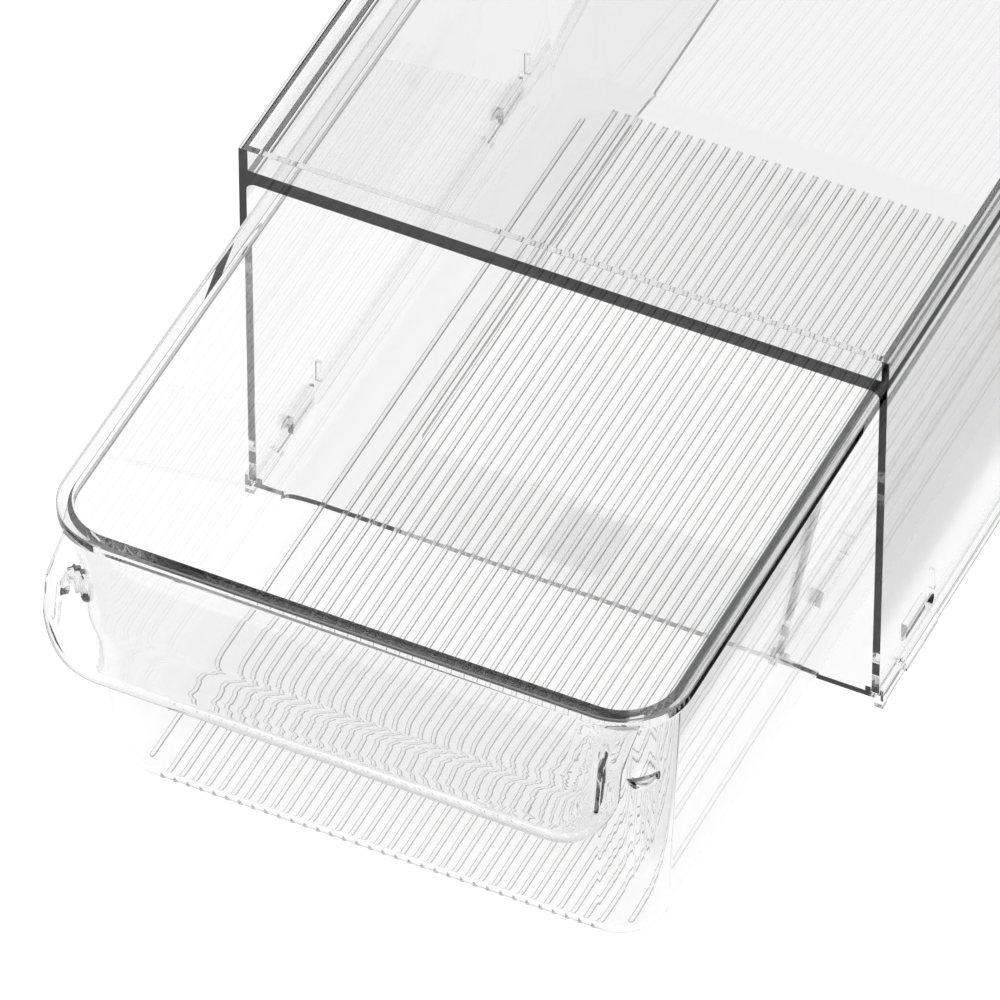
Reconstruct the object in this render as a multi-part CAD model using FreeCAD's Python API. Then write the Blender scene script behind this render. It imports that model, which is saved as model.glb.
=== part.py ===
import FreeCAD, Part

import math
import os

from FreeCAD import Base

# A clear fridge bin: a drawer that slides in an open-fronted housing, which snaps onto a base.
# Millimetres, +Z up, +X to the right, -Y to the front, where the drawer is pulled out.
# The shapes are drawn with y = 0 at the housing's front edge and moved at the end, so that the
# origin is under the middle of the bin as it stands with its drawer pulled out.

# Housing
HOUSING_WIDTH = 206.0
HOUSING_DEPTH = 345.0
HOUSING_HEIGHT = 141.0
WALL = 2.4
PANEL_TOP = 132.0               # upper face of the recessed top panel
PANEL_THICKNESS = 4.0
LIP_THICKNESS = 2.2             # raised lip along the front of the top panel
CAVITY_RADIUS = 3.0             # where the top panel meets the walls
BACK_CORNER_RADIUS = 4.0
WALL_BOTTOM = 5.6               # lower edge of the walls, standing on the base plate

# Snap clips, three on each side
CLIP_COUNT = 3
CLIP_MARGIN = 28.0              # first clip's middle, from the housing's front edge
CLIP_LENGTH = 22.0
WINDOW_LOW = 8.0
WINDOW_HIGH = 13.0
TONGUE_TOP = 14.5
TONGUE_THICKNESS = 1.8
HOOK_REACH = 1.6
BLADE_HEIGHT = 8.0
BLADE_THICKNESS = 1.2

# Base plate
PLATE_TOP = 5.4
PLATE_THICKNESS = 2.0
CUTOUT_HALF_WIDTH = 63.0
CUTOUT_MARGIN = 34.0            # from the front edge and from the back edge
CUTOUT_RADIUS = 5.0
RAIL_OUTSIDE = 1.4              # how far the side rails stand proud of the housing's walls
RAIL_INNER_WIDTH = 1.8
RAIL_TOP = 7.4
RAIL_BOTTOM = 1.4
RAIL_GAP = 0.2                  # between a wall and the rail's two flanges
PEG_LENGTH = 3.0
PEG_WIDTH = 2.8

# Drawer
PULL_OUT = 139.0                # from closed to where it stands
RIM_OVERHANG = 4.1              # of the front rim past the housing's front edge, drawer closed
BACK_CLEARANCE = 1.6            # from the back rim to the housing's back wall, drawer closed
DRAWER_FRONT = -RIM_OVERHANG - PULL_OUT
DRAWER_BACK = HOUSING_DEPTH - WALL - BACK_CLEARANCE - PULL_OUT
RIM_HALF_WIDTH = 98.3
RIM_TOP = 119.4
RIM_THICKNESS = 4.2
RIM_WIDTH = 4.8
RIM_RADIUS = 21.0               # outer corners of the rim
RIM_SLOPE = 0.8                 # drop of the rim's underside from its outer edge to the wall
SKIN = 2.2                      # thickness of the drawer's walls
FLOOR_BOTTOM = 6.5
FLOOR_THICKNESS = 2.2
FLOOR_HALF_WIDTH = 86.4         # outside of the side walls at the floor
FLOOR_FRONT = DRAWER_FRONT + 18.5
FLOOR_BACK = DRAWER_BACK - 11.0
FLOOR_CORNER_RADIUS = 15.0
FLOOR_EDGE_RADIUS = 9.0         # where the walls turn into the floor

# Ribs under the drawer's floor
RIB_RADIUS = 1.03
RIB_SINK = 0.58                 # of each rib's axis into the floor, so the ribs are 0.45 high
RIB_PITCH = 4.17
RIB_COUNT = 34
RIB_FRONT = FLOOR_FRONT + 5.6
RIB_BACK = FLOOR_BACK - 5.0
LONE_RIB_X = 76.3
LONE_RIB_FRONT = FLOOR_FRONT + 11.6
LONE_RIB_BACK = FLOOR_BACK - 13.0

# Pull flange under the front rim
FLANGE_HALF_WIDTH = 90.0
FLANGE_DROP = 33.7              # from the rim's underside to the flange's lower edge
FLANGE_CORNER_RADIUS = 20.0
FLANGE_CORNER_SHARE = 0.96      # of a quarter turn, so the corner ends just short of upright
FLANGE_LEAN = 5.5               # how far it leans out over its whole drop
FLANGE_KICK = 11.0              # how much further its lip stands out
FLANGE_SIDE_LIP = 7.0           # distance from its side edges where the kick is half done
FLANGE_LOWER_LIP = 5.0          # the same from its lower edge
FLANGE_STEEPNESS = 7            # how sharply the lip steps out
FLANGE_FADE = 0.3               # share of the drop over which the lip grows from nothing
FLANGE_THICKNESS = 2.2
FLANGE_ROOT = 1.8               # thickness where it hangs from the rim
FLANGE_STEP = 0.3               # how far its face stands back from the rim's front edge
FLANGE_TOP = RIM_TOP - RIM_THICKNESS / 3    # where its root ends, inside the rim
FLANGE_COLUMNS = 41
FLANGE_ROWS = 25

# Half-round lugs on the drawer's front corners
LUG_RADIUS = 5.0
LUG_TOP = 88.6


def vec(x, y, z):
    return Base.Vector(x, y, z)


def box(x0, y0, z0, x1, y1, z1):
    """A box from its lowest corner to its highest corner."""
    return Part.makeBox(x1 - x0, y1 - y0, z1 - z0, vec(x0, y0, z0))


def mirrored(shape):
    """The same piece on the other side of the middle plane."""
    return shape.mirror(vec(0, 0, 0), vec(1, 0, 0))


def rounded_outline(x0, y0, x1, y1, radius, z):
    """A closed rectangle with four equal rounded corners, in a level plane."""
    corners = [(x1, y0, -90), (x1, y1, 0), (x0, y1, 90), (x0, y0, 180)]
    arcs = []
    for x, y, start in corners:
        cx = x - radius if x == x1 else x + radius
        cy = y - radius if y == y1 else y + radius
        points = []
        for angle in (start, start + 45, start + 90):
            turn = math.radians(angle)
            points.append(vec(cx + radius * math.cos(turn), cy + radius * math.sin(turn), z))
        arcs.append(Part.Arc(*points).toShape())
    edges = []
    for index, arc in enumerate(arcs):
        edges.append(arc)
        following = arcs[(index + 1) % len(arcs)]
        edges.append(Part.makeLine(arc.Vertexes[-1].Point, following.Vertexes[0].Point))
    return Part.Wire(edges)


def rounded_block(x0, y0, x1, y1, radius, z0, z1):
    """An upright block with rounded vertical corners."""
    return Part.Face(rounded_outline(x0, y0, x1, y1, radius, z0)).extrude(vec(0, 0, z1 - z0))


def clip_centres():
    """Middle of each snap clip along the side, from front to back."""
    span = HOUSING_DEPTH - 2 * CLIP_MARGIN
    return [CLIP_MARGIN + span * index / (CLIP_COUNT - 1) for index in range(CLIP_COUNT)]


def make_window(y_middle):
    """The long slot with rounded ends through a side wall that a tongue's hook snaps into."""
    radius = (WINDOW_HIGH - WINDOW_LOW) / 2
    half = CLIP_LENGTH / 2
    inside = HOUSING_WIDTH / 2 - WALL - 1
    slot = box(inside, y_middle - half + radius, WINDOW_LOW,
               HOUSING_WIDTH / 2 + 1, y_middle + half - radius, WINDOW_HIGH)
    for y in (y_middle - half + radius, y_middle + half - radius):
        end = Part.makeCylinder(radius, WALL + 2, vec(inside, y, WINDOW_LOW + radius), vec(1, 0, 0))
        slot = slot.fuse(end)
    return slot


def make_blade(y_middle):
    """The thin upright rib on the inside of a wall, just behind a clip, that locates its tongue."""
    wall_face = HOUSING_WIDTH / 2 - WALL
    y = y_middle + CLIP_LENGTH / 2 + 1.0
    return box(wall_face - TONGUE_THICKNESS, y, WINDOW_HIGH - 1,
               wall_face + 0.5, y + BLADE_THICKNESS, WINDOW_HIGH - 1 + BLADE_HEIGHT)


def make_housing_shell():
    """Top panel, raised rims, two side walls and the back, moulded as one clear piece."""
    half = HOUSING_WIDTH / 2
    body = box(-half, 0, WALL_BOTTOM, half, HOUSING_DEPTH, HOUSING_HEIGHT)
    back_edges = [edge for edge in body.Edges
                  if abs(edge.CenterOfMass.y - HOUSING_DEPTH) < 0.1
                  and abs(abs(edge.CenterOfMass.x) - half) < 0.1]
    body = body.makeFillet(BACK_CORNER_RADIUS, back_edges)

    inner = half - WALL
    panel_bottom = PANEL_TOP - PANEL_THICKNESS
    cavity = box(-inner, -5, WALL_BOTTOM - 5, inner, HOUSING_DEPTH - WALL, panel_bottom)
    soft_edges = [edge for edge in cavity.Edges
                  if abs(edge.CenterOfMass.z - panel_bottom) < 0.1
                  and edge.CenterOfMass.y > 0
                  or abs(edge.CenterOfMass.y - HOUSING_DEPTH + WALL) < 0.1
                  and abs(abs(edge.CenterOfMass.x) - inner) < 0.1]
    cavity = cavity.makeFillet(CAVITY_RADIUS, soft_edges)
    recess = rounded_block(-inner, LIP_THICKNESS, inner, HOUSING_DEPTH - WALL, 1.0,
                           PANEL_TOP, HOUSING_HEIGHT + 5)
    shell = body.cut(cavity).cut(recess)

    for y_middle in clip_centres():
        window = make_window(y_middle)
        blade = make_blade(y_middle)
        shell = shell.cut(window).cut(mirrored(window))
        shell = shell.fuse(blade).fuse(mirrored(blade))
    return shell.removeSplitter()


def make_tongue(y_middle):
    """A springy tongue on the base plate, inside the right wall, with a hook for the window."""
    outer = HOUSING_WIDTH / 2 - WALL - RAIL_GAP
    half = CLIP_LENGTH / 2 - 4.0
    tongue = box(outer - TONGUE_THICKNESS, y_middle - half, PLATE_TOP - 0.5,
                 outer, y_middle + half, TONGUE_TOP)
    tip_low = WINDOW_LOW + 0.6
    tip_high = WINDOW_HIGH - 0.4
    profile = [vec(outer - 0.5, y_middle - half, tip_low),
               vec(outer + HOOK_REACH, y_middle - half, tip_low),
               vec(outer + HOOK_REACH, y_middle - half, tip_low + 1.2),
               vec(outer - 0.5, y_middle - half, tip_high)]
    hook = Part.Face(Part.makePolygon(profile + profile[:1])).extrude(vec(0, 2 * half, 0))
    return tongue.fuse(hook)


def make_rail():
    """The right-hand rail: a channel that the wall's lower edge stands in."""
    half = HOUSING_WIDTH / 2
    inner = half - WALL - RAIL_GAP - RAIL_INNER_WIDTH
    outer = half + RAIL_OUTSIDE
    rail = box(inner, 0, PLATE_TOP - PLATE_THICKNESS, outer, HOUSING_DEPTH + RAIL_OUTSIDE, RAIL_TOP)
    channel = box(half - WALL - RAIL_GAP, -5, PLATE_TOP,
                  half + RAIL_GAP, HOUSING_DEPTH + RAIL_GAP, RAIL_TOP + 5)
    back_wall = box(inner - 1, HOUSING_DEPTH - WALL - CAVITY_RADIUS - RAIL_GAP, PLATE_TOP,
                    half, HOUSING_DEPTH + RAIL_GAP, RAIL_TOP + 5)
    skirt = box(outer - RAIL_OUTSIDE, 0, RAIL_BOTTOM,
                outer, HOUSING_DEPTH + RAIL_OUTSIDE, PLATE_TOP)
    return rail.cut(channel).cut(back_wall).fuse(skirt)


def make_feet():
    """Pads under the clips and pegs at the corners of the right-hand rail."""
    outer = HOUSING_WIDTH / 2 + RAIL_OUTSIDE
    feet = []
    for y_middle in clip_centres():
        feet.append(box(outer - PEG_WIDTH, y_middle - CLIP_LENGTH / 2, 0,
                        outer, y_middle + CLIP_LENGTH / 2, PLATE_TOP - 1))
    for y in (0, HOUSING_DEPTH + RAIL_OUTSIDE - PEG_LENGTH):
        feet.append(box(outer - PEG_WIDTH, y, 0, outer, y + PEG_LENGTH, PLATE_TOP - 1))
    return feet


def make_base_plate():
    """The floor of the housing: a plate with a large cut-out, side rails, tongues and feet."""
    half = HOUSING_WIDTH / 2
    back = HOUSING_DEPTH + RAIL_OUTSIDE
    plate = box(-half, 0, PLATE_TOP - PLATE_THICKNESS, half, back, PLATE_TOP)
    cutout = rounded_block(-CUTOUT_HALF_WIDTH, CUTOUT_MARGIN,
                           CUTOUT_HALF_WIDTH, HOUSING_DEPTH - CUTOUT_MARGIN,
                           CUTOUT_RADIUS, -1, PLATE_TOP + 1)
    plate = plate.cut(cutout)
    back_flange = box(-half, HOUSING_DEPTH + RAIL_GAP, RAIL_BOTTOM, half, back, RAIL_TOP)
    pieces = [back_flange]
    tongues = [make_tongue(y_middle) for y_middle in clip_centres()]
    for side_piece in [make_rail()] + make_feet() + tongues:
        pieces.append(side_piece)
        pieces.append(mirrored(side_piece))
    return plate.multiFuse(pieces).removeSplitter()


def wall_size(z):
    """Half width, front, back and corner radius of the drawer's walls, outside, at a height."""
    share = (z - FLOOR_BOTTOM) / (RIM_TOP - FLOOR_BOTTOM)
    overhang = RIM_WIDTH - SKIN
    low = (FLOOR_HALF_WIDTH, FLOOR_FRONT, FLOOR_BACK, FLOOR_CORNER_RADIUS)
    high = (RIM_HALF_WIDTH - overhang, DRAWER_FRONT + overhang, DRAWER_BACK - overhang,
            RIM_RADIUS - overhang)
    return [bottom + (top - bottom) * share for bottom, top in zip(low, high)]


def wall_outline(inset, z):
    """The walls' outline at a height, as far inside their outer face as inset says."""
    half, front, back, radius = wall_size(z)
    return rounded_outline(-half + inset, front + inset, half - inset, back - inset,
                           radius - inset, z)


def drawer_body(inset, floor_z, radius_at_edge):
    """The drawer's tapered box, as far inside its outer face as inset says."""
    block = Part.makeLoft([wall_outline(inset, floor_z), wall_outline(inset, RIM_TOP)], True, True)
    bottom_edges = [edge for edge in block.Edges if abs(edge.BoundBox.ZMax - floor_z) < 0.01]
    return block.makeFillet(radius_at_edge, bottom_edges)


def make_rim():
    """The rim round the drawer's mouth: flat on top, sloping underneath down to the walls."""
    low = RIM_TOP - RIM_THICKNESS
    flat = rounded_block(-RIM_HALF_WIDTH, DRAWER_FRONT, RIM_HALF_WIDTH, DRAWER_BACK, RIM_RADIUS,
                         low, RIM_TOP)
    edge = rounded_outline(-RIM_HALF_WIDTH, DRAWER_FRONT, RIM_HALF_WIDTH, DRAWER_BACK, RIM_RADIUS,
                           low)
    slope = Part.makeLoft([wall_outline(0, low - RIM_SLOPE), edge], True, True)
    return flat.fuse(slope)


def make_rib(x, y_front, y_back, round_ends):
    """A low rounded rib under the floor, running from front to back."""
    axis_z = FLOOR_BOTTOM + RIB_SINK
    rib = Part.makeCylinder(RIB_RADIUS, y_back - y_front, vec(x, y_front, axis_z), vec(0, 1, 0))
    if round_ends:
        for y in (y_front, y_back):
            rib = rib.fuse(Part.makeSphere(RIB_RADIUS, vec(x, y, axis_z)))
    top_half = box(x - 2, y_front - 2, axis_z + 0.5, x + 2, y_back + 2, axis_z + 3)
    return rib.cut(top_half)


def make_ribs():
    """The close-set ribs under the middle of the floor, and one longer rib apart on each side."""
    ribs = []
    for index in range(RIB_COUNT):
        x = (index - (RIB_COUNT - 1) / 2) * RIB_PITCH
        ribs.append(make_rib(x, RIB_FRONT, RIB_BACK, False))
    for x in (-LONE_RIB_X, LONE_RIB_X):
        ribs.append(make_rib(x, LONE_RIB_FRONT, LONE_RIB_BACK, True))
    return ribs


def rim_front_y(x):
    """Front edge of the rim at a distance x from the middle, corners included."""
    beyond = max(0.0, abs(x) - (RIM_HALF_WIDTH - RIM_RADIUS))
    return DRAWER_FRONT + RIM_RADIUS - math.sqrt(RIM_RADIUS ** 2 - beyond ** 2)


def flange_edge(x):
    """Height of the flange's lower edge at a distance x from the middle."""
    lowest = RIM_TOP - RIM_THICKNESS - FLANGE_DROP
    beyond = max(0.0, abs(x) - (FLANGE_HALF_WIDTH - FLANGE_CORNER_RADIUS))
    share = beyond / FLANGE_CORNER_RADIUS * FLANGE_CORNER_SHARE
    return lowest + FLANGE_CORNER_RADIUS * (1 - math.sqrt(1 - share ** 2))


def flange_y(x, z):
    """Middle of the flange's thickness: it leans out, then steps out into a lip round its edge."""
    to_side = max(FLANGE_HALF_WIDTH - abs(x), 0.01) / FLANGE_SIDE_LIP
    to_lower_edge = max(z - flange_edge(x), 0.01) / FLANGE_LOWER_LIP
    to_edge = 1 / math.hypot(1 / to_side, 1 / to_lower_edge)
    kick = FLANGE_KICK / (1 + to_edge ** FLANGE_STEEPNESS)
    below_rim = FLANGE_TOP - z
    lean = FLANGE_LEAN * below_rim / FLANGE_DROP
    fade = min(1.0, max(0.0, below_rim / (FLANGE_FADE * FLANGE_DROP)))
    middle = rim_front_y(x) + FLANGE_STEP + FLANGE_THICKNESS / 2
    return middle - lean - kick * fade ** 2 * (3 - 2 * fade)


def flange_point(across, down, side):
    """A point of the flange's front face (side -1) or back face (side 1).

    across runs from -1 to 1 along the flange, and down from 0 to 1.
    """
    x = across * FLANGE_HALF_WIDTH
    z = FLANGE_TOP + (flange_edge(x) - FLANGE_TOP) * down
    middle = vec(x, flange_y(x, z), z)
    step = 0.2 if x < 0 else -0.2
    lean_x = (flange_y(x + step, z) - middle.y) / step
    lean_z = (flange_y(x, z + 0.2) - middle.y) / 0.2
    inwards = vec(-lean_x, 1, -lean_z)
    inwards.normalize()
    thickness = FLANGE_ROOT + (FLANGE_THICKNESS - FLANGE_ROOT) * down
    return middle + inwards * (side * thickness / 2)


def make_flange():
    """The wide pull that hangs from the front rim and flares outwards to a rounded lower edge."""
    surfaces = []
    for side in (-1, 1):
        grid = []
        for row in range(FLANGE_ROWS):
            line = []
            for column in range(FLANGE_COLUMNS):
                # columns crowd towards the ends, where the outline turns its corners
                across = math.sin(math.pi / 2 * (2 * column / (FLANGE_COLUMNS - 1) - 1))
                line.append(flange_point(across, row / (FLANGE_ROWS - 1), side))
            grid.append(line)
        surface = Part.BSplineSurface()
        surface.interpolate(grid)
        surfaces.append(surface)
    front, back = surfaces
    faces = [front.toShape(), back.toShape()]
    u0, u1, v0, v1 = front.bounds()
    for near, far in ((front.uIso(u0), back.uIso(u0)), (front.uIso(u1), back.uIso(u1)),
                      (front.vIso(v0), back.vIso(v0)), (front.vIso(v1), back.vIso(v1))):
        faces.append(Part.makeRuledSurface(near.toShape(), far.toShape()))
    shell = Part.Shell(faces)
    shell.sewShape()
    solid = Part.Solid(Part.Shell(shell.Faces))
    if solid.Volume < 0:
        solid.reverse()
    return solid


def make_lug(side):
    """The small lug on a front corner of the drawer: half round, with a flat top and a domed underside."""
    half, front, back, radius = wall_size(LUG_TOP)
    reach = radius * math.sqrt(0.5) - 0.6
    middle = vec(side * (half - radius + reach), front + radius - reach, LUG_TOP)
    return Part.makeSphere(LUG_RADIUS, middle, vec(0, 0, 1), -90, 0, 360)


def make_drawer():
    """The drawer: tapered walls, flat rim, ribbed floor and a pull flange, one clear moulding."""
    outer = drawer_body(0, FLOOR_BOTTOM, FLOOR_EDGE_RADIUS)
    inner = drawer_body(SKIN, FLOOR_BOTTOM + FLOOR_THICKNESS, FLOOR_EDGE_RADIUS - SKIN)
    outside = outer.fuse(make_rim()).fuse(make_flange())
    outside = outside.fuse(make_lug(1)).fuse(make_lug(-1))
    return outside.cut(inner).multiFuse(make_ribs()).removeSplitter()


def write_node(name, shape, shift):
    """Move a finished piece into the bin's own frame and write it."""
    placed = shape.copy()
    placed.translate(shift)
    placed.exportStep("parts/" + name + ".step")
    bounds = placed.BoundBox
    print(name, "solids", len(placed.Solids), "valid", placed.isValid(),
          "volume", round(placed.Volume), "box", bounds)


def main():
    os.makedirs("parts", exist_ok=True)
    drawer = make_drawer()
    shell = make_housing_shell()
    base = make_base_plate()
    flange_front = flange_y(0, flange_edge(0)) - FLANGE_THICKNESS / 2
    middle = (flange_front + HOUSING_DEPTH + RAIL_OUTSIDE) / 2
    shift = vec(0, -middle, 0)
    print("front edge of the housing is at y =", -middle)
    write_node("housing_shell", shell, shift)
    write_node("base_plate", base, shift)
    write_node("drawer", drawer, shift)


main()
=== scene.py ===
import math

import bmesh
import bpy
from mathutils import Matrix, Vector


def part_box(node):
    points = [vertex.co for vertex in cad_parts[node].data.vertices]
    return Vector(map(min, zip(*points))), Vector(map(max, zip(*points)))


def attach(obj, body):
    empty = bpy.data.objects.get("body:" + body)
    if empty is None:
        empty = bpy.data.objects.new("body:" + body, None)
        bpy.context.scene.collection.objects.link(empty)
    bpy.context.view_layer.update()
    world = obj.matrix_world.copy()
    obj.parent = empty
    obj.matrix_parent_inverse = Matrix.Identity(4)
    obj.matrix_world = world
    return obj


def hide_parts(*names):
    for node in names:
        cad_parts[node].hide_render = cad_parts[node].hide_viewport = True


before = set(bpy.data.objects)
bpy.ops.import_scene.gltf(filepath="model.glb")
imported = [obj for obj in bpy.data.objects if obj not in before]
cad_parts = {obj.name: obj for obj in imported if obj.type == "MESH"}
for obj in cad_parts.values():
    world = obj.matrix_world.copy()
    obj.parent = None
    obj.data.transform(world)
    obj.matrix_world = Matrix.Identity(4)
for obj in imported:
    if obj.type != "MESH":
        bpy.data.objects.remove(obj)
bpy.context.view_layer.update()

# A clear fridge bin: a drawer standing pulled out of an open-fronted housing on its base plate.
# Sizes are in millimetres. Shapes are drawn with y = 0 at the housing's front edge, x = 0 in the
# middle and z = 0 under the feet, and put into the frame by place().

MM = 0.001
shell_low, shell_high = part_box("housing_shell")
base_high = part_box("base_plate")[1]
drawer_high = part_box("drawer")[1]
FRONT = shell_low.y / MM

HOUSING_HALF = shell_high.x / MM
HOUSING_DEPTH = (shell_high.y - shell_low.y) / MM
HOUSING_HEIGHT = shell_high.z / MM
WALL_BOTTOM = shell_low.z / MM
WALL = 2.4
PANEL_TOP = 132.0
PANEL_THICKNESS = 4.0
LIP_THICKNESS = 2.2
CAVITY_RADIUS = 3.0
BACK_CORNER_RADIUS = 4.0

CLIP_COUNT = 3
CLIP_MARGIN = 28.0
CLIP_LENGTH = 22.0
WINDOW_LOW = 8.0
WINDOW_HIGH = 13.0
BLADE_HEIGHT = 8.0
BLADE_THICKNESS = 1.2
BLADE_GAP = 1.0                 # from a window's end to its blade
TONGUE_TOP = 14.5
TONGUE_THICKNESS = 1.8
TONGUE_MARGIN = 4.0             # from a window's end to its tongue
HOOK_REACH = 1.6
HOOK_LOW = WINDOW_LOW + 0.6
HOOK_HIGH = WINDOW_HIGH - 0.4
HOOK_EDGE = 1.2                 # height of the hook's blunt edge

BASE_HALF = base_high.x / MM
BASE_BACK = (base_high.y - shell_low.y) / MM
PLATE_TOP = 5.4
PLATE_THICKNESS = 2.0
CUTOUT_HALF_WIDTH = 63.0
CUTOUT_MARGIN = 34.0
CUTOUT_RADIUS = 5.0
RAIL_INNER_WIDTH = 1.8
RAIL_TOP = 7.4
RAIL_BOTTOM = 1.4
RAIL_GAP = 0.2
PEG_LENGTH = 3.0
PEG_WIDTH = 2.8

RIM_HALF_WIDTH = drawer_high.x / MM
RIM_TOP = drawer_high.z / MM
DRAWER_BACK = (drawer_high.y - shell_low.y) / MM
DRAWER_FRONT = -143.1           # 139 out of its closed place, where it stands 4.1 proud
RIM_THICKNESS = 4.2
RIM_SLOPE = 0.8
RIM_ROUNDING = 0.5
RIM_WIDTH = 4.8
RIM_RADIUS = 21.0
SKIN = 2.2
FLOOR_BOTTOM = 6.5
FLOOR_THICKNESS = 2.2
FLOOR_HALF_WIDTH = 86.4
FLOOR_FRONT = DRAWER_FRONT + 18.5
FLOOR_BACK = DRAWER_BACK - 11.0
FLOOR_CORNER_RADIUS = 15.0
FLOOR_EDGE_RADIUS = 9.0

RIB_HALF_WIDTH = 0.85
RIB_HEIGHT = 0.45
RIB_ROOT = 0.7
RIB_PITCH = 4.17
RIB_COUNT = 34
RIB_BACK = FLOOR_BACK - 5.0
RIB_CLIMB = 62.0                # degrees of the floor's rounded front edge that the ribs run up
RIB_CLIMB_STEPS = 8
RIB_FADE_STEPS = 3              # the last of these steps, over which a rib dies out
RIB_FADE = 0.3                  # share of full size lost in each of them
LONE_RIB_X = 76.3
LONE_RIB_FRONT = FLOOR_FRONT + 11.6
LONE_RIB_BACK = FLOOR_BACK - 13.0

FLANGE_HALF_WIDTH = 90.0
FLANGE_DROP = 33.7
FLANGE_CORNER_RADIUS = 20.0
FLANGE_LEAN = 5.5
FLANGE_KICK = 11.0
FLANGE_SIDE_LIP = 7.0
FLANGE_LOWER_LIP = 5.0
FLANGE_STEEPNESS = 7
FLANGE_FADE = 0.3
FLANGE_THICKNESS = 2.2
FLANGE_STEP = 0.3
FLANGE_COLUMNS = 40             # on each side of the middle
FLANGE_ROWS = 36
FLANGE_TOP = RIM_TOP - RIM_THICKNESS / 3

LUG_RADIUS = 5.0
LUG_TOP = 88.6
LUG_SINK = 0.6                  # of its middle into the wall's corner

PATCH_Y = 17.5
PATCH_HALF_WIDTH = 10.0
PATCH_HALF_DEPTH = 11.5
GATE_Y = 166.0
GATE_RADIUS = 5.0
MARK_FADE = 0.5
FROSTING = 0.3

EDGE_ROUNDING = 0.35
BASE_EDGE_ROUNDING = 0.25
SHARP_ANGLE = math.radians(30)
FLAT_ANGLE = math.radians(0.5)
WELD = 0.002                    # points closer than this are one point
FLANGE_WELD = 0.005
PAST = 5.0                      # how far a cutting block runs past what it cuts
HAIR = 0.01                     # keeps two faces from lying in one plane


def place(x, y, z):
    """A point of the bin, drawn in millimetres, in the frame's metres."""
    return Vector((x * MM, (y + FRONT) * MM, z * MM))


# ---------------------------------------------------------------- mesh building

def new_object(name, mesh):
    """A mesh as an object of the scene."""
    piece = bpy.data.objects.new(name, mesh)
    bpy.context.scene.collection.objects.link(piece)
    return piece


def solid(name, verts, faces):
    """A closed mesh object from points in millimetres."""
    mesh = bpy.data.meshes.new(name)
    mesh.from_pydata([place(*v) for v in verts], [], faces)
    bm = bmesh.new()
    bm.from_mesh(mesh)
    bmesh.ops.recalc_face_normals(bm, faces=bm.faces)
    bm.to_mesh(mesh)
    bm.free()
    return new_object(name, mesh)


def prism(name, outline, lift):
    """A closed solid: a flat outline of points, swept along the vector lift."""
    count = len(outline)
    top = [tuple(c + d for c, d in zip(point, lift)) for point in outline]
    faces = [list(range(count)), list(range(2 * count - 1, count - 1, -1))]
    for i in range(count):
        j = (i + 1) % count
        faces.append([i, j, count + j, count + i])
    return solid(name, list(outline) + top, faces)


def block(name, low, high):
    """A box from its lowest corner to its highest corner."""
    (x0, y0, z0), (x1, y1, z1) = low, high
    return prism(name, [(x0, y0, z0), (x1, y0, z0), (x1, y1, z0), (x0, y1, z0)], (0, 0, z1 - z0))


def side_faces(count, rings):
    """Faces between neighbouring rings of count points each."""
    faces = []
    for k in range(rings - 1):
        for i in range(count):
            j = (i + 1) % count
            faces.append([k * count + i, k * count + j, (k + 1) * count + j, (k + 1) * count + i])
    return faces


def end_face(count, ring_index):
    """One face across a ring of count points."""
    return list(range(ring_index * count, (ring_index + 1) * count))


def quarter_turn(steps):
    """Angles from nothing to a quarter turn, in equal steps."""
    return [math.pi / 2 * i / steps for i in range(steps + 1)]


def arc(cx, cy, radius, start, end, steps):
    """Points of an arc in a plane, angles in degrees."""
    points = []
    for i in range(steps + 1):
        turn = math.radians(start + (end - start) * i / steps)
        points.append((cx + radius * math.cos(turn), cy + radius * math.sin(turn)))
    return points


def combine(target, others, operation):
    """Boolean of a piece with a list of others, which are used up."""
    for other in others:
        modifier = target.modifiers.new("combine", "BOOLEAN")
        modifier.operation = operation
        modifier.solver = "MANIFOLD"
        modifier.object = other
    apply_modifiers(target)
    for other in others:
        bpy.data.objects.remove(other)
    return target


def apply_modifiers(piece):
    """Turn what the piece's modifiers show into its own mesh."""
    graph = bpy.context.evaluated_depsgraph_get()
    mesh = bpy.data.meshes.new_from_object(piece.evaluated_get(graph))
    piece.modifiers.clear()
    piece.data = mesh


def finish_solid(piece, rounding=0.0):
    """Dissolve flat seams, round the edges and give the faces clean normals."""
    bm = bmesh.new()
    bm.from_mesh(piece.data)
    bmesh.ops.remove_doubles(bm, verts=bm.verts, dist=WELD * MM)
    bmesh.ops.dissolve_limit(bm, angle_limit=FLAT_ANGLE, verts=bm.verts, edges=bm.edges)
    bm.to_mesh(piece.data)
    bm.free()
    if rounding:
        bevel = piece.modifiers.new("rounded edges", "BEVEL")
        bevel.width = rounding * MM
        bevel.segments = 3
        bevel.limit_method = "ANGLE"
        bevel.angle_limit = SHARP_ANGLE
        bevel.use_clamp_overlap = True
        bevel.miter_outer = "MITER_ARC"
        apply_modifiers(piece)
    for polygon in piece.data.polygons:
        polygon.use_smooth = True
    piece.data.set_sharp_from_angle(angle=SHARP_ANGLE)
    weighted = piece.modifiers.new("flat faces stay flat", "WEIGHTED_NORMAL")
    weighted.keep_sharp = True
    apply_modifiers(piece)
    return piece


def mirror_copy(piece):
    """The same solid on the other side of the middle plane."""
    mesh = piece.data.copy()
    mesh.transform(Matrix.Scale(-1, 4, (1, 0, 0)))
    mesh.flip_normals()
    return new_object(piece.name + "_mirrored", mesh)


# ---------------------------------------------------------------- housing

def clip_centres():
    """Middle of each snap clip along the side, from front to back."""
    span = HOUSING_DEPTH - 2 * CLIP_MARGIN
    return [CLIP_MARGIN + span * i / (CLIP_COUNT - 1) for i in range(CLIP_COUNT)]


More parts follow.
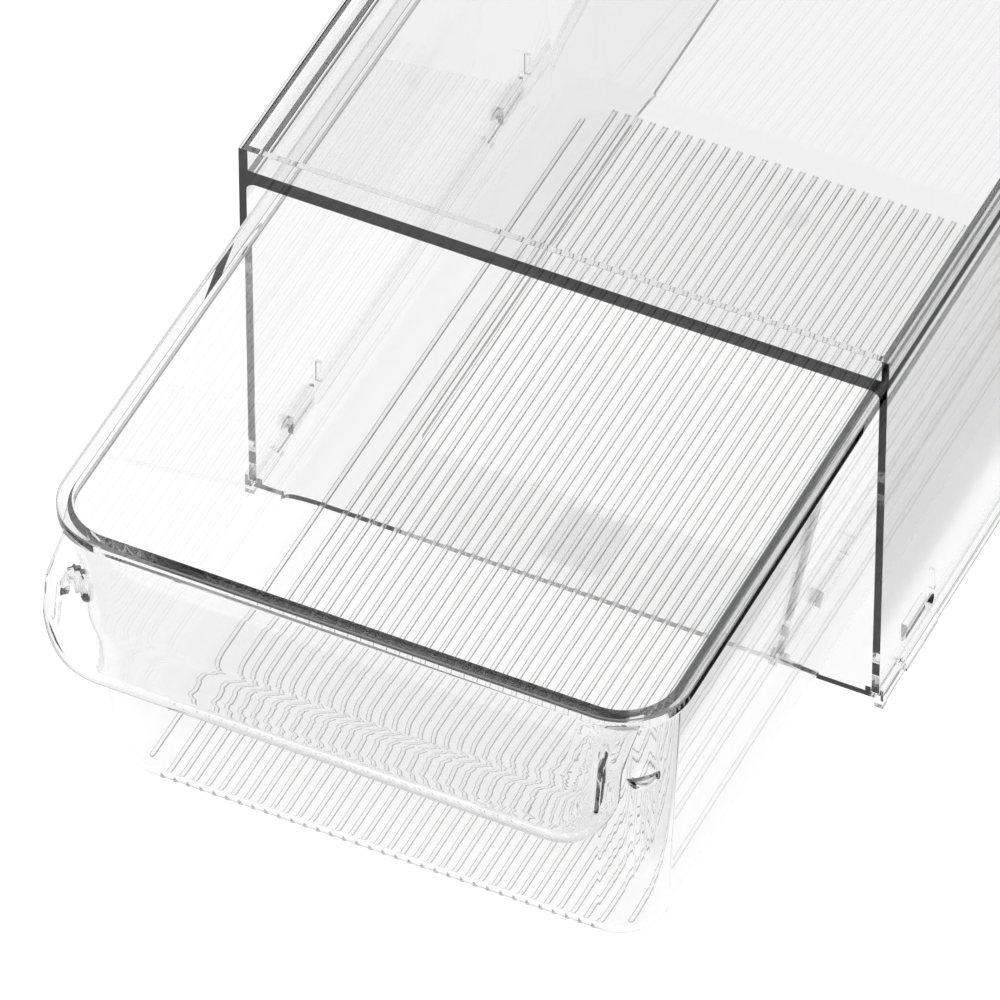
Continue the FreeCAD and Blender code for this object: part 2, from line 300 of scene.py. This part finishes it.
def make_window(y_middle):
    """The long slot with rounded ends through the right wall."""
    radius = (WINDOW_HIGH - WINDOW_LOW) / 2
    half = CLIP_LENGTH / 2 - radius
    z = WINDOW_LOW + radius
    outline = (arc(y_middle + half, z, radius, -90, 90, 12)
               + arc(y_middle - half, z, radius, 90, 270, 12))
    inside = HOUSING_HALF - WALL - 1
    return prism("window", [(inside, y, height) for y, height in outline], (WALL + 2, 0, 0))


def make_blade(y_middle):
    """The thin upright rib inside the right wall, just behind a window."""
    wall_face = HOUSING_HALF - WALL
    y = y_middle + CLIP_LENGTH / 2 + BLADE_GAP
    return block("blade", (wall_face - TONGUE_THICKNESS, y, WINDOW_HIGH - 1),
                 (wall_face + 0.5, y + BLADE_THICKNESS, WINDOW_HIGH - 1 + BLADE_HEIGHT))


def make_housing():
    """The open-fronted housing with its recessed top panel, lip and raised rims."""
    half, inner = HOUSING_HALF, HOUSING_HALF - WALL
    r = BACK_CORNER_RADIUS
    plan = [(-half, 0), (half, 0)]
    plan += arc(half - r, HOUSING_DEPTH - r, r, 0, 90, 8)
    plan += arc(-half + r, HOUSING_DEPTH - r, r, 90, 180, 8)
    body = prism("clear_housing", [(x, y, WALL_BOTTOM) for x, y in plan],
                 (0, 0, HOUSING_HEIGHT - WALL_BOTTOM))
    c = CAVITY_RADIUS
    ceiling = PANEL_TOP - PANEL_THICKNESS
    section = [(-inner, WALL_BOTTOM - PAST), (inner, WALL_BOTTOM - PAST)]
    section += arc(inner - c, ceiling - c, c, 0, 90, 8)
    section += arc(-inner + c, ceiling - c, c, 90, 180, 8)
    cavity = prism("cavity", [(x, -PAST, z) for x, z in section],
                   (0, HOUSING_DEPTH - WALL + PAST, 0))
    recess = block("recess", (-inner, LIP_THICKNESS, PANEL_TOP),
                   (inner, HOUSING_DEPTH - WALL, HOUSING_HEIGHT + PAST))
    windows, blades = [], []
    for y_middle in clip_centres():
        for made, keep in ((make_window(y_middle), windows), (make_blade(y_middle), blades)):
            keep.append(made)
            keep.append(mirror_copy(made))
    combine(body, [cavity, recess] + windows, "DIFFERENCE")
    combine(body, blades, "UNION")
    return finish_solid(body, EDGE_ROUNDING)


# ---------------------------------------------------------------- base plate

def make_tongue(y_middle):
    """A springy tongue inside the right wall, with a hook that reaches into the window."""
    outer = HOUSING_HALF - WALL - RAIL_GAP
    inner = outer - TONGUE_THICKNESS
    tip = outer + HOOK_REACH
    root = PLATE_TOP - 0.5
    half = CLIP_LENGTH / 2 - TONGUE_MARGIN
    section = [(inner, root), (outer, root), (outer, HOOK_LOW), (tip, HOOK_LOW),
               (tip, HOOK_LOW + HOOK_EDGE), (outer, HOOK_HIGH), (outer, TONGUE_TOP),
               (inner, TONGUE_TOP)]
    return prism("tongue", [(x, y_middle - half, z) for x, z in section], (0, 2 * half, 0))


def make_rail():
    """The right-hand rail: a channel that the wall's lower edge stands in."""
    half = HOUSING_HALF
    groove_inside, groove_outside = half - WALL - RAIL_GAP, half + RAIL_GAP
    inner = groove_inside - RAIL_INNER_WIDTH
    low = PLATE_TOP - PLATE_THICKNESS
    section = [(inner, low), (half, low), (half, RAIL_BOTTOM), (BASE_HALF, RAIL_BOTTOM),
               (BASE_HALF, RAIL_TOP), (groove_outside, RAIL_TOP), (groove_outside, PLATE_TOP),
               (groove_inside, PLATE_TOP), (groove_inside, RAIL_TOP), (inner, RAIL_TOP)]
    rail = prism("rail", [(x, 0, z) for x, z in section], (0, HOUSING_DEPTH + RAIL_GAP + 0.1, 0))
    inner_end = HOUSING_DEPTH - WALL - CAVITY_RADIUS - RAIL_GAP
    back_wall = block("back_wall", (inner - 1, inner_end, PLATE_TOP),
                      (half, HOUSING_DEPTH + PAST, RAIL_TOP + PAST))
    return combine(rail, [back_wall], "DIFFERENCE")


def make_base():
    """The base plate with its cut-out, side rails, snap tongues and feet."""
    half = HOUSING_HALF - 0.5
    plan = [(-half, 0), (half, 0), (half, BASE_BACK), (-half, BASE_BACK)]
    low = PLATE_TOP - PLATE_THICKNESS
    plate = prism("clear_base", [(x, y, low) for x, y in plan], (0, 0, PLATE_THICKNESS))
    r = CUTOUT_RADIUS
    x1, y0, y1 = CUTOUT_HALF_WIDTH - r, CUTOUT_MARGIN + r, HOUSING_DEPTH - CUTOUT_MARGIN - r
    hole = (arc(x1, y1, r, 0, 90, 8) + arc(-x1, y1, r, 90, 180, 8)
            + arc(-x1, y0, r, 180, 270, 8) + arc(x1, y0, r, 270, 360, 8))
    cutout = prism("cutout", [(x, y, 0) for x, y in hole], (0, 0, PLATE_TOP + PAST))
    combine(plate, [cutout], "DIFFERENCE")
    pieces = [block("back_rail", (-BASE_HALF, HOUSING_DEPTH + RAIL_GAP, RAIL_BOTTOM),
                    (BASE_HALF, BASE_BACK, RAIL_TOP))]
    side_pieces = [make_rail()]
    for y_middle in clip_centres():
        side_pieces.append(make_tongue(y_middle))
        side_pieces.append(block("pad", (BASE_HALF - PEG_WIDTH, y_middle - CLIP_LENGTH / 2, 0),
                                 (BASE_HALF - HAIR, y_middle + CLIP_LENGTH / 2, PLATE_TOP - 1)))
    for y in (HAIR, BASE_BACK - PEG_LENGTH - HAIR):
        side_pieces.append(block("peg", (BASE_HALF - PEG_WIDTH, y, 0),
                                 (BASE_HALF - HAIR, y + PEG_LENGTH, PLATE_TOP - 1)))
    for piece in side_pieces:
        pieces.append(piece)
        pieces.append(mirror_copy(piece))
    combine(plate, pieces, "UNION")
    return finish_solid(plate, BASE_EDGE_ROUNDING)


# ---------------------------------------------------------------- drawer

def smooth_steps(count):
    """Shares from 0 to 1 that crowd towards 1."""
    return [math.sin(turn) for turn in quarter_turn(count)]


def ring(half, front, back, radius, z):
    """A rounded rectangle at one height; every ring has the same number of points."""
    points = []
    corners = ((half, front, -90), (half, back, 0), (-half, back, 90), (-half, front, 180))
    for x, y, start in corners:
        cx = x - math.copysign(radius, x)
        cy = y + radius if y == front else y - radius
        points += [(px, py, z) for px, py in arc(cx, cy, radius, start, start + 90, 16)]
    return points


def wall_size(z):
    """Half width, front, back and corner radius of the drawer wall's outside at a height."""
    share = (z - FLOOR_BOTTOM) / (RIM_TOP - FLOOR_BOTTOM)
    overhang = RIM_WIDTH - SKIN
    half = FLOOR_HALF_WIDTH + (RIM_HALF_WIDTH - overhang - FLOOR_HALF_WIDTH) * share
    front = FLOOR_FRONT + (DRAWER_FRONT + overhang - FLOOR_FRONT) * share
    back = FLOOR_BACK + (DRAWER_BACK - overhang - FLOOR_BACK) * share
    radius = FLOOR_CORNER_RADIUS + (RIM_RADIUS - overhang - FLOOR_CORNER_RADIUS) * share
    return half, front, back, radius


def wall_ring(inward, z):
    """The drawer wall's outline at a height, moved inwards."""
    half, front, back, radius = wall_size(z)
    return ring(half - inward, front + inward, back - inward, radius - inward, z)


def edge_turn(inset, floor_z, radius, steps):
    """Rings of the rounded turn from the floor into the walls, from the floor upwards."""
    rings = []
    for turn in quarter_turn(steps):
        z = floor_z + radius * (1 - math.cos(turn))
        rings.append(wall_ring(inset + radius * (1 - math.sin(turn)), z))
    return rings


def rim_ring(inward, z):
    """The rim's outline at a height, moved inwards."""
    return ring(RIM_HALF_WIDTH - inward, DRAWER_FRONT + inward, DRAWER_BACK - inward,
                RIM_RADIUS - inward, z)


def make_drawer_body():
    """The tapered box and its rim, as one closed skin of rings."""
    rings = edge_turn(SKIN, FLOOR_BOTTOM + FLOOR_THICKNESS, FLOOR_EDGE_RADIUS - SKIN, 10)
    r = RIM_ROUNDING
    top, low = RIM_TOP - r, RIM_TOP - RIM_THICKNESS
    turns = quarter_turn(4)
    rings.append(wall_ring(SKIN, top))
    for turn in turns[1:]:
        rings.append(rim_ring(RIM_WIDTH - r * (1 - math.cos(turn)), top + r * math.sin(turn)))
    for turn in turns:
        rings.append(rim_ring(r * (1 - math.sin(turn)), top + r * math.cos(turn)))
    for turn in turns[1:]:
        rings.append(rim_ring(r * (1 - math.cos(turn)), low + r - r * math.sin(turn)))
    rings.append(wall_ring(0, low - RIM_SLOPE))
    rings += reversed(edge_turn(0, FLOOR_BOTTOM, FLOOR_EDGE_RADIUS, 12))
    count = len(rings[0])
    verts = [point for points in rings for point in points]
    faces = [end_face(count, 0)] + side_faces(count, len(rings))
    faces.append(end_face(count, len(rings) - 1))
    return solid("clear_drawer", verts, faces)


def make_rib(x, stations):
    """A low rib under the floor through stations (y, z, turn, share of full size)."""
    verts = []
    for y, z, turn, share in stations:
        for dx, drop in rib_section(share):
            verts.append((x + dx, y - drop * math.sin(turn), z - drop * math.cos(turn)))
    count = len(verts) // len(stations)
    faces = [end_face(count, 0), end_face(count, len(stations) - 1)]
    return solid("rib", verts, faces + side_faces(count, len(stations)))


def rib_section(share):
    """Outline of a rib across its length: an arc below the floor and a root sunk into it."""
    radius = (RIB_HALF_WIDTH ** 2 + RIB_HEIGHT ** 2) / (2 * RIB_HEIGHT)
    points = []
    for i in range(13):
        across = RIB_HALF_WIDTH * (i / 6 - 1)
        drop = math.sqrt(radius ** 2 - across ** 2) - radius + RIB_HEIGHT
        points.append((across * share, drop * share))
    return points + [(RIB_HALF_WIDTH * share, -RIB_ROOT), (-RIB_HALF_WIDTH * share, -RIB_ROOT)]


def close_rib_stations():
    """A rib of the close-set field: it runs on up the floor's rounded front edge and dies out."""
    stations = [(RIB_BACK, FLOOR_BOTTOM, 0.0, 1.0)]
    slope = (FLOOR_FRONT - DRAWER_FRONT - RIM_WIDTH + SKIN) / (RIM_TOP - FLOOR_BOTTOM)
    for i in range(RIB_CLIMB_STEPS + 1):
        turn = math.radians(RIB_CLIMB) * i / RIB_CLIMB_STEPS
        rise = FLOOR_EDGE_RADIUS * (1 - math.cos(turn))
        y = FLOOR_FRONT - slope * rise + FLOOR_EDGE_RADIUS * (1 - math.sin(turn))
        faded = max(0, i - RIB_CLIMB_STEPS + RIB_FADE_STEPS)
        stations.append((y, FLOOR_BOTTOM + rise, turn, 1.0 - RIB_FADE * faded))
    return stations


def lone_rib_stations():
    """A rib that stands apart, straight and with rounded ends."""
    turns = quarter_turn(5)
    stations = []
    for end, side, order in ((LONE_RIB_FRONT, -1, turns), (LONE_RIB_BACK, 1, turns[::-1])):
        for turn in order:
            y = end + side * RIB_HALF_WIDTH * math.cos(turn)
            stations.append((y, FLOOR_BOTTOM, 0.0, max(0.05, math.sin(turn))))
    return stations


def make_ribs():
    """The close-set ribs under the middle of the floor, and one rib apart on each side."""
    ribs = [make_rib((i - (RIB_COUNT - 1) / 2) * RIB_PITCH, close_rib_stations())
            for i in range(RIB_COUNT)]
    ribs += [make_rib(x, lone_rib_stations()) for x in (-LONE_RIB_X, LONE_RIB_X)]
    return ribs


def join(pieces):
    """Several separate closed solids as one object."""
    bm = bmesh.new()
    for piece in pieces:
        bm.from_mesh(piece.data)
    mesh = pieces[0].data
    bm.to_mesh(mesh)
    bm.free()
    for piece in pieces[1:]:
        bpy.data.objects.remove(piece)
    return pieces[0]


def rim_front_y(x):
    """Front edge of the rim at a distance x from the middle, corners included."""
    beyond = max(0.0, abs(x) - (RIM_HALF_WIDTH - RIM_RADIUS))
    return DRAWER_FRONT + RIM_RADIUS - math.sqrt(RIM_RADIUS ** 2 - beyond ** 2)


def flange_edge(x):
    """Height of the flange's lower edge at a distance x from the middle."""
    lowest = RIM_TOP - RIM_THICKNESS - FLANGE_DROP
    beyond = max(0.0, abs(x) - (FLANGE_HALF_WIDTH - FLANGE_CORNER_RADIUS))
    share = min(1.0, beyond / FLANGE_CORNER_RADIUS)
    return lowest + FLANGE_CORNER_RADIUS * (1 - math.sqrt(1 - share ** 2))


def distance_to_edge(x, z, side_scale=1.0, lower_scale=1.0):
    """Roughly how far a point of the flange is from its side and lower edges, in those scales."""
    to_side = max(FLANGE_HALF_WIDTH - abs(x), 0.001) / side_scale
    to_lower_edge = max(z - flange_edge(x), 0.001) / lower_scale
    return 1 / math.hypot(1 / to_side, 1 / to_lower_edge)


def flange_y(x, z):
    """Middle of the flange's thickness: it leans out, then steps out into a lip round its edge."""
    below_rim = FLANGE_TOP - z
    fade = min(1.0, max(0.0, below_rim / (FLANGE_FADE * FLANGE_DROP)))
    to_edge = distance_to_edge(x, z, FLANGE_SIDE_LIP, FLANGE_LOWER_LIP)
    kick = FLANGE_KICK / (1 + to_edge ** FLANGE_STEEPNESS)
    lean = FLANGE_LEAN * below_rim / FLANGE_DROP
    middle = rim_front_y(x) + FLANGE_STEP + FLANGE_THICKNESS / 2
    return middle - lean - kick * fade ** 2 * (3 - 2 * fade)


def flange_pair(x, z):
    """Front and back points of the flange, which thins to nothing in a rounded edge."""
    middle = Vector((x, flange_y(x, z), z))
    step = 0.05
    sx = -step if x > 0 else step
    lean_x = (flange_y(x + sx, z) - middle.y) / sx
    lean_z = (flange_y(x, z + step) - middle.y) / step
    inwards = Vector((-lean_x, 1, -lean_z)).normalized()
    half = FLANGE_THICKNESS / 2
    to_edge = min(distance_to_edge(x, z), half)
    bulge = half * math.sqrt(max(0.0, 1 - (1 - to_edge / half) ** 2))
    return middle - inwards * bulge, middle + inwards * bulge


def make_flange():
    """The wide pull that hangs from the front rim and flares outwards to a rounded edge."""
    columns = smooth_steps(FLANGE_COLUMNS)
    across = [-s for s in reversed(columns[1:])] + columns
    down = smooth_steps(FLANGE_ROWS)
    front, back = [], []
    for d in down:
        for s in across:
            x = s * FLANGE_HALF_WIDTH
            z = FLANGE_TOP + (flange_edge(x) - FLANGE_TOP) * d
            pair = flange_pair(x, z)
            front.append(tuple(pair[0]))
            back.append(tuple(pair[1]))
    width, total = len(across), len(front)
    faces = []
    for row in range(len(down) - 1):
        for column in range(width - 1):
            a = row * width + column
            faces.append([a, a + 1, a + width + 1, a + width])
            faces.append([total + a, total + a + width, total + a + width + 1, total + a + 1])
    rim_loop = list(range(width))
    rim_loop += [(row + 1) * width - 1 for row in range(1, len(down))]
    rim_loop += [total - 1 - column for column in range(1, width)]
    rim_loop += [total - width - row * width for row in range(1, len(down) - 1)]
    for i, a in enumerate(rim_loop):
        b = rim_loop[(i + 1) % len(rim_loop)]
        faces.append([a, b, total + b, total + a])
    flange = solid("flange", front + back, faces)
    bm = bmesh.new()
    bm.from_mesh(flange.data)
    bmesh.ops.remove_doubles(bm, verts=bm.verts, dist=FLANGE_WELD * MM)
    bmesh.ops.dissolve_degenerate(bm, edges=bm.edges, dist=WELD * MM)
    bmesh.ops.recalc_face_normals(bm, faces=bm.faces)
    bm.to_mesh(flange.data)
    bm.free()
    return flange


def make_lug(side):
    """A half-round lug on a front corner, with a flat top and a domed underside."""
    half, front, back, radius = wall_size(LUG_TOP)
    reach = radius * math.sqrt(0.5) - LUG_SINK
    cx = side * (half - radius + reach)
    cy = front + radius - reach
    verts, around, levels = [], 32, 10
    for i in range(levels):
        turn = math.pi / 2 * i / levels
        circle = arc(cx, cy, LUG_RADIUS * math.cos(turn), 0, 360, around)[:-1]
        verts += [(x, y, LUG_TOP - LUG_RADIUS * math.sin(turn)) for x, y in circle]
    verts.append((cx, cy, LUG_TOP - LUG_RADIUS))
    lowest = len(verts) - 1
    faces = [list(range(around))]
    for i in range(around):
        j = (i + 1) % around
        for k in range(0, lowest - around, around):
            faces.append([k + i, k + j, k + around + j, k + around + i])
        faces.append([lowest - around + i, lowest - around + j, lowest])
    lug = solid("lug", verts, faces)
    inside = wall_ring(SKIN / 2, LUG_TOP)
    hollow = prism("hollow", [(x, y, LUG_TOP - 2 * LUG_RADIUS) for x, y, _ in inside],
                   (0, 0, 3 * LUG_RADIUS))
    return combine(lug, [hollow], "DIFFERENCE")


def make_drawer():
    """The drawer: tapered walls, rim, ribbed floor, pull flange and lugs, one clear moulding."""
    drawer = make_drawer_body()
    combine(drawer, [make_flange()], "UNION")
    combine(drawer, [make_lug(-1), make_lug(1)], "UNION")
    combine(drawer, [join(make_ribs())], "UNION")
    return finish_solid(drawer)


# ---------------------------------------------------------------- materials

REFRACTION = 1.57
WAVE_SCALE = 45.0
POLISH_SCALE = 160.0

# How smoky, how wavy and how dull at its dullest each moulding's plastic is
HOUSING_LOOK = (9.0, 0.02, 0.02)
BASE_LOOK = (5.0, 0.02, 0.03)
DRAWER_LOOK = (5.5, 0.015, 0.02)


def map_range(tree, value, start, end, low, high):
    """A smooth change from low to high while the value goes from start to end."""
    node = tree.nodes.new("ShaderNodeMapRange")
    node.interpolation_type = "SMOOTHSTEP"
    tree.links.new(value, node.inputs["Value"])
    for name, setting in (("From Min", start), ("From Max", end), ("To Min", low), ("To Max", high)):
        if isinstance(setting, float):
            node.inputs[name].default_value = setting
        else:
            tree.links.new(setting, node.inputs[name])
    return node.outputs[0]


def math_node(tree, operation, first, second):
    """The result of a Math node; each value is a number or another node's output."""
    node = tree.nodes.new("ShaderNodeMath")
    node.operation = operation
    for socket, value in zip(node.inputs, (first, second)):
        if isinstance(value, float):
            socket.default_value = value
        else:
            tree.links.new(value, socket)
    return node.outputs[0]


def inside_mark(tree, distance, size, level):
    """The level within a size of a mark's middle, and none outside it."""
    return map_range(tree, distance, (size - MARK_FADE) * MM, (size + MARK_FADE) * MM, level, 0.0)


def noise(tree, position, scale, detail):
    """A cloudy pattern over the surface position."""
    node = tree.nodes.new("ShaderNodeTexNoise")
    node.inputs["Scale"].default_value = scale
    node.inputs["Detail"].default_value = detail
    tree.links.new(position, node.inputs["Vector"])
    return node.outputs[0]


def clear_plastic(name, density, waviness, dullest):
    """Clear moulded plastic: smoky along its depth, faintly wavy, and unevenly polished.

    Gives the material, its shader tree, the surface position and the roughness of the polish.
    """
    material = bpy.data.materials.new(name)
    material.use_nodes = True
    tree = material.node_tree
    shader = tree.nodes["Principled BSDF"]
    shader.inputs["Base Color"].default_value = (1, 1, 1, 1)
    shader.inputs["Transmission Weight"].default_value = 1.0
    shader.inputs["IOR"].default_value = REFRACTION
    position = tree.nodes.new("ShaderNodeTexCoord").outputs["Object"]
    waves = tree.nodes.new("ShaderNodeBump")
    waves.inputs["Strength"].default_value = waviness
    waves.inputs["Distance"].default_value = MM
    tree.links.new(noise(tree, position, WAVE_SCALE, 1.0), waves.inputs["Height"])
    tree.links.new(waves.outputs[0], shader.inputs["Normal"])
    polish = map_range(tree, noise(tree, position, POLISH_SCALE, 4.0), 0.35, 0.75, 0.0, dullest)
    tree.links.new(polish, shader.inputs["Roughness"])
    absorb = tree.nodes.new("ShaderNodeVolumeAbsorption")
    absorb.inputs["Color"].default_value = (0, 0, 0, 1)
    absorb.inputs["Density"].default_value = density
    tree.links.new(absorb.outputs[0], tree.nodes["Material Output"].inputs["Volume"])
    return material, tree, position, polish


def drawer_plastic():
    """The drawer's plastic: duller on the ribs and on two frosted marks of its floor."""
    material, tree, position, roughness = clear_plastic("drawer_plastic", *DRAWER_LOOK)
    split = tree.nodes.new("ShaderNodeSeparateXYZ")
    tree.links.new(position, split.inputs[0])
    across, along, height = split.outputs
    ribs = map_range(tree, height, (FLOOR_BOTTOM - 0.1) * MM, FLOOR_BOTTOM * MM, FROSTING, 0.0)
    sideways = math_node(tree, "ABSOLUTE", across, 0.0)
    from_middle = math_node(tree, "SUBTRACT", along, (FRONT + PATCH_Y) * MM)
    lengthways = math_node(tree, "ABSOLUTE", from_middle, 0.0)
    patch = math_node(tree, "MULTIPLY", inside_mark(tree, sideways, PATCH_HALF_WIDTH, 1.0),
                      inside_mark(tree, lengthways, PATCH_HALF_DEPTH, FROSTING))
    gate = tree.nodes.new("ShaderNodeVectorMath")
    gate.operation = "DISTANCE"
    gate.inputs[1].default_value = place(0, GATE_Y, FLOOR_BOTTOM + FLOOR_THICKNESS)
    tree.links.new(position, gate.inputs[0])
    gate_mark = inside_mark(tree, gate.outputs["Value"], GATE_RADIUS, FROSTING)
    for mark in (ribs, patch, gate_mark):
        roughness = math_node(tree, "MAXIMUM", roughness, mark)
    tree.links.new(roughness, tree.nodes["Principled BSDF"].inputs["Roughness"])
    return material


# ---------------------------------------------------------------- camera, floor and light

CAMERA_AZIMUTH = math.radians(25.4933)
CAMERA_ELEVATION = math.radians(45.2967)
CAMERA_LENS = 490.0
CAMERA_PLACE = (-17.372, 28.991, 3999.139)      # along its own right, up and back directions

# Metres and brightness. Reflections find the floor dim in front of the bin and dark to its right:
# painted shade that only reflections see.
FLOOR_SIZE = 12
FLOOR_DROP = 0.0002
FLOOR_GREY = 0.12
FLOOR_LIGHT = 1.02
# Painted shade for reflection rays: a dim level in front of the bin, and the edges where it fades in
# front and turns dark on the right
PAINTED_SHADE_FRONT_LEVEL = 0.2
MIRRORED_LIGHT = 0.95
PAINTED_SHADE_FRONT_EDGE = (-0.255, -0.235)                # along y
PAINTED_SHADE_RIGHT_EDGE = (0.111, 0.119)                 # along x

# A broad pale sky with one darker patch behind and above the bin
SKY_LEVEL = 0.6
SKY_PATCH_LEVEL = 0.25
SKY_PATCH_TOWARDS = (-0.33, 0.65, 0.69)
SKY_PATCH_EDGE = (0.86, 0.96)                   # cosine of the angle from its middle

CLEAR_BOUNCES = 64                              # of light inside the clear plastic


def make_camera():
    """A long lens that looks down on the bin from its front right."""
    azimuth, elevation = CAMERA_AZIMUTH, CAMERA_ELEVATION
    right = Vector((math.cos(azimuth), math.sin(azimuth), 0))
    back = Vector((math.sin(azimuth) * math.cos(elevation), -math.cos(azimuth) * math.cos(elevation),
                   math.sin(elevation)))
    up = back.cross(right)
    camera = bpy.data.objects.new("camera", bpy.data.cameras.new("camera"))
    bpy.context.scene.collection.objects.link(camera)
    camera.data.sensor_width = 36
    camera.data.lens = CAMERA_LENS
    camera.data.clip_end = 100
    across, above, away = CAMERA_PLACE
    spot = right * across + up * above + back * away
    matrix = Matrix((right, up, back)).transposed().to_4x4()
    matrix.translation = place(*spot)
    camera.matrix_world = matrix
    bpy.context.scene.camera = camera


def make_floor():
    """A pale floor; what it gives to reflections has painted shade, dimmer in front and dark on the
    right.
    """
    bpy.ops.mesh.primitive_plane_add(size=FLOOR_SIZE, location=(0, 0, -FLOOR_DROP))
    floor = bpy.context.object
    floor.name = "floor"
    material = bpy.data.materials.new("floor")
    material.use_nodes = True
    tree = material.node_tree
    shader = tree.nodes["Principled BSDF"]
    shader.inputs["Base Color"].default_value = (FLOOR_GREY, FLOOR_GREY, FLOOR_GREY, 1)
    shader.inputs["Roughness"].default_value = 1.0
    shader.inputs["Specular IOR Level"].default_value = 0.0
    shader.inputs["Emission Color"].default_value = (1, 1, 1, 1)
    spot = tree.nodes.new("ShaderNodeTexCoord")
    split = tree.nodes.new("ShaderNodeSeparateXYZ")
    tree.links.new(spot.outputs["Object"], split.inputs[0])
    across, along = split.outputs["X"], split.outputs["Y"]
    # Painted shade: reflection rays see the floor dim in front of the bin and dark to its right
    reflection_with_painted_front_shade = map_range(tree, along, *PAINTED_SHADE_FRONT_EDGE, PAINTED_SHADE_FRONT_LEVEL, MIRRORED_LIGHT)
    mirrored = map_range(tree, across, *PAINTED_SHADE_RIGHT_EDGE, reflection_with_painted_front_shade, 0.0)
    rays = tree.nodes.new("ShaderNodeLightPath")
    # Reflection rays get the floor with its painted shade; all other rays see it evenly bright
    level = map_range(tree, rays.outputs["Is Reflection Ray"], 0.0, 1.0, FLOOR_LIGHT, mirrored)
    tree.links.new(level, shader.inputs["Emission Strength"])
    floor.data.materials.append(material)


def make_world():
    """Soft even studio light from all round, weaker from one patch of sky."""
    world = bpy.data.worlds.new("studio")
    bpy.context.scene.world = world
    world.use_nodes = True
    tree = world.node_tree
    background = tree.nodes["Background"]
    coordinates = tree.nodes.new("ShaderNodeTexCoord")
    towards = tree.nodes.new("ShaderNodeVectorMath")
    towards.operation = "DOT_PRODUCT"
    towards.inputs[1].default_value = Vector(SKY_PATCH_TOWARDS).normalized()
    tree.links.new(coordinates.outputs["Generated"], towards.inputs[0])
    ramp = tree.nodes.new("ShaderNodeValToRGB")
    tree.links.new(towards.outputs["Value"], ramp.inputs[0])
    levels = ramp.color_ramp.elements
    for element, position, level in zip(levels, SKY_PATCH_EDGE, (SKY_LEVEL, SKY_PATCH_LEVEL)):
        element.position = position
        element.color = (level, level, level, 1)
    tree.links.new(ramp.outputs[0], background.inputs[0])
    background.inputs[1].default_value = 1.0


make_camera()
make_floor()
make_world()
housing = make_housing()
base = make_base()
drawer = make_drawer()
for piece, node, body, slot, stuff in (
        (housing, "housing_shell", "housing", "housing_plastic",
         clear_plastic("housing_plastic", *HOUSING_LOOK)[0]),
        (base, "base_plate", "housing", "base_plastic",
         clear_plastic("base_plastic", *BASE_LOOK)[0]),
        (drawer, "drawer", "drawer", "drawer_plastic", drawer_plastic())):
    piece.data.materials.clear()
    piece.data.materials.append(stuff)
    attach(piece, body)
    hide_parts(node)

scene = bpy.context.scene
scene.view_settings.view_transform = "Standard"
scene.cycles.use_denoising = True
scene.cycles.denoiser = "OPENIMAGEDENOISE"
scene.cycles.max_bounces = CLEAR_BOUNCES
scene.cycles.transmission_bounces = CLEAR_BOUNCES
scene.cycles.glossy_bounces = CLEAR_BOUNCES
scene.cycles.diffuse_bounces = 2
